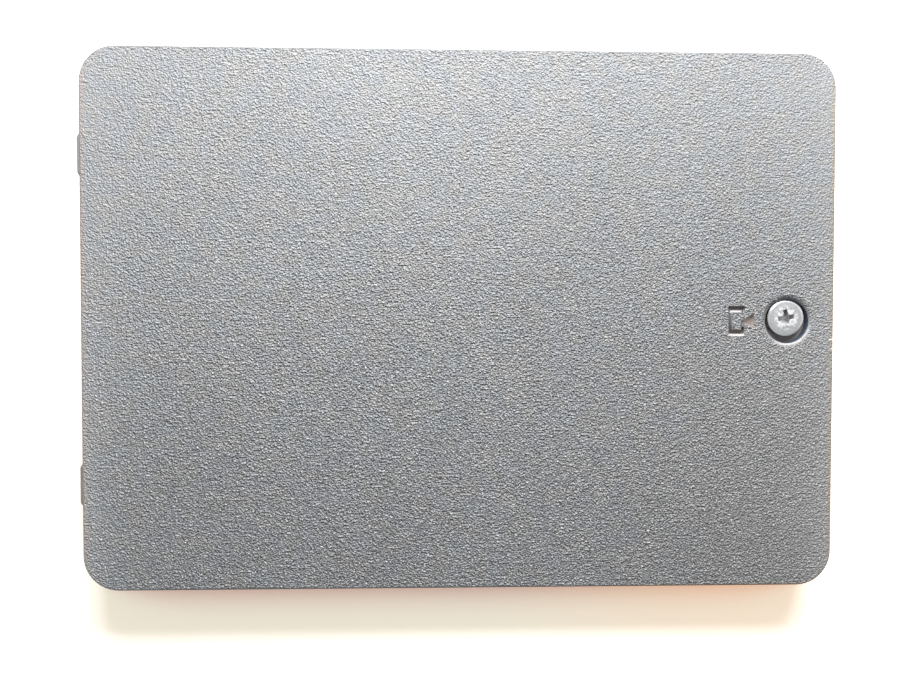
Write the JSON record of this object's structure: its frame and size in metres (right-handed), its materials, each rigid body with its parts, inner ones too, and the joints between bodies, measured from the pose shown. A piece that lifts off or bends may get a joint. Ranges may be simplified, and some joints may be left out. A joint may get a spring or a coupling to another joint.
{
  "type": "laptop access panel cover",
  "caption": "Flat grained plastic access panel with rounded corners, skirt and ribs beneath, tongue tabs on one short edge and a captive cross-recess screw near the other.",
  "frame": {"origin": "under the middle of the whole part, at the level of the skirt's tip, where the part rests on a table", "axes": "+Z out of the grained outer face, +X from the tongue tabs towards the screw, +Y along the short side"},
  "size_m": [0.1062, 0.075, 0.0058],
  "materials": {
    "panel_plastic": "dark grey, fine moulded grain on the outer face, smooth satin beneath",
    "screw_plating": "bright nickel plating, lightly worn round the recess",
    "clip_steel": "oiled spring steel"
  },
  "bodies": {
    "panel": {"cover_panel": "panel_plastic"},
    "clip": {"retaining_clip": "clip_steel"},
    "screw": {"captive_screw": "screw_plating"}
  },
  "joints": [
    {"name": "screw_lift", "type": "slide", "parent": "panel", "child": "clip", "axis": [0, 0, 1], "range_m": [0, 0.001]},
    {"name": "screw_turn", "type": "hinge", "parent": "clip", "child": "screw", "pos_m": [0.04638, 0.0005, 0.0045], "axis": [0, 0, 1], "continuous": true}
  ]
}
